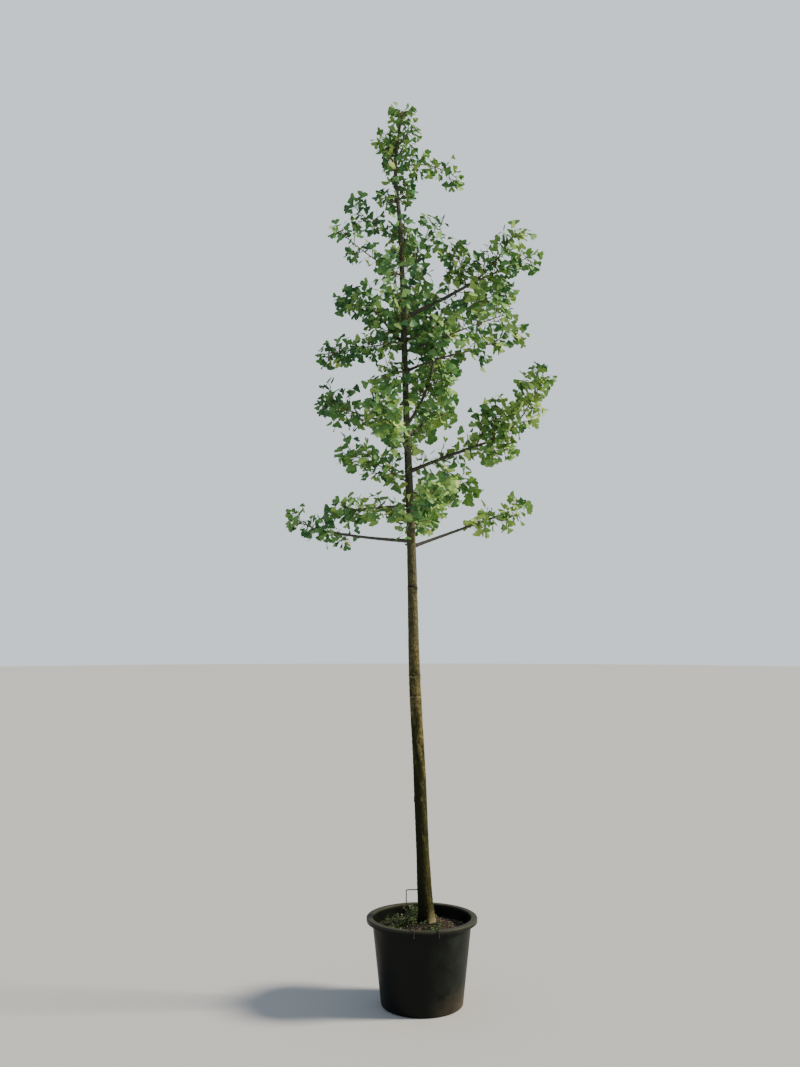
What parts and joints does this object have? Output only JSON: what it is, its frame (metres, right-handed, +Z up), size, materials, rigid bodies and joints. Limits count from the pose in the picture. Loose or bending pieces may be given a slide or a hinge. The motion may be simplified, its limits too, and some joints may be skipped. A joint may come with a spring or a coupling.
{
  "type": "young ginkgo tree in a nursery pot",
  "caption": "Slim young tree with one straight leader, open boughs and fan-shaped leaves, rooted in the soil of a round tapered pot with wire handles.",
  "frame": {"origin": "middle of the pot's flat underside, at the level it stands on", "axes": "+Z up along the tree, +X to the right and -Y towards the camera of the picture"},
  "size_m": [1.277, 0.9618, 4.1938],
  "materials": {
    "pot_plastic": "satin",
    "root_ball_soil": "matte",
    "handle_wire": "satin",
    "trunk_bark": "matte",
    "bough_bark": "matte",
    "leaves": "satin"
  },
  "bodies": {
    "root": {"bough_back_high": "bough_bark", "bough_back_low": "bough_bark", "bough_back_middle": "bough_bark", "bough_front_high": "bough_bark", "bough_front_low": "bough_bark", "bough_front_middle": "bough_bark", "bough_leader_shoot": "bough_bark", "bough_left_low": "bough_bark", "bough_left_lowest": "bough_bark", "bough_left_middle": "bough_bark", "bough_left_rising": "bough_bark", "bough_right_back_high": "bough_bark", "bough_right_front_high": "bough_bark", "bough_right_high": "bough_bark", "bough_right_long": "bough_bark", "bough_right_lowest": "bough_bark", "bough_right_middle": "bough_bark", "bough_steep": "bough_bark", "foliage_back_high": "leaves", "foliage_back_low": "leaves", "foliage_back_middle": "leaves", "foliage_back_top": "leaves", "foliage_front_high": "leaves", "foliage_front_low": "leaves", "foliage_front_middle": "leaves", "foliage_front_top": "leaves", "foliage_leader_shoot": "leaves", "foliage_left_drooping": "leaves", "foliage_left_low": "leaves", "foliage_left_lowest": "leaves", "foliage_left_middle": "leaves", "foliage_left_rising": "leaves", "foliage_left_short": "leaves", "foliage_left_side": "leaves", "foliage_left_top": "leaves", "foliage_left_upper": "leaves", "foliage_right_back_high": "leaves", "foliage_right_front_high": "leaves", "foliage_right_high_fork": "leaves", "foliage_right_high_inner": "leaves", "foliage_right_high_outer": "leaves", "foliage_right_long_inner": "leaves", "foliage_right_long_outer": "leaves", "foliage_right_long_under": "leaves", "foliage_right_low": "leaves", "foliage_right_lowest": "leaves", "foliage_right_middle": "leaves", "foliage_right_top": "leaves", "foliage_spur_left": "leaves", "foliage_spur_right": "leaves", "foliage_steep": "leaves", "foliage_steep_side": "leaves", "foliage_tip": "leaves", "foliage_tip_left": "leaves", "foliage_tip_right": "leaves", "handle_back": "handle_wire", "handle_front": "handle_wire", "pot": "pot_plastic", "root_ball": "root_ball_soil", "trunk": "trunk_bark"}
  },
  "joints": []
}
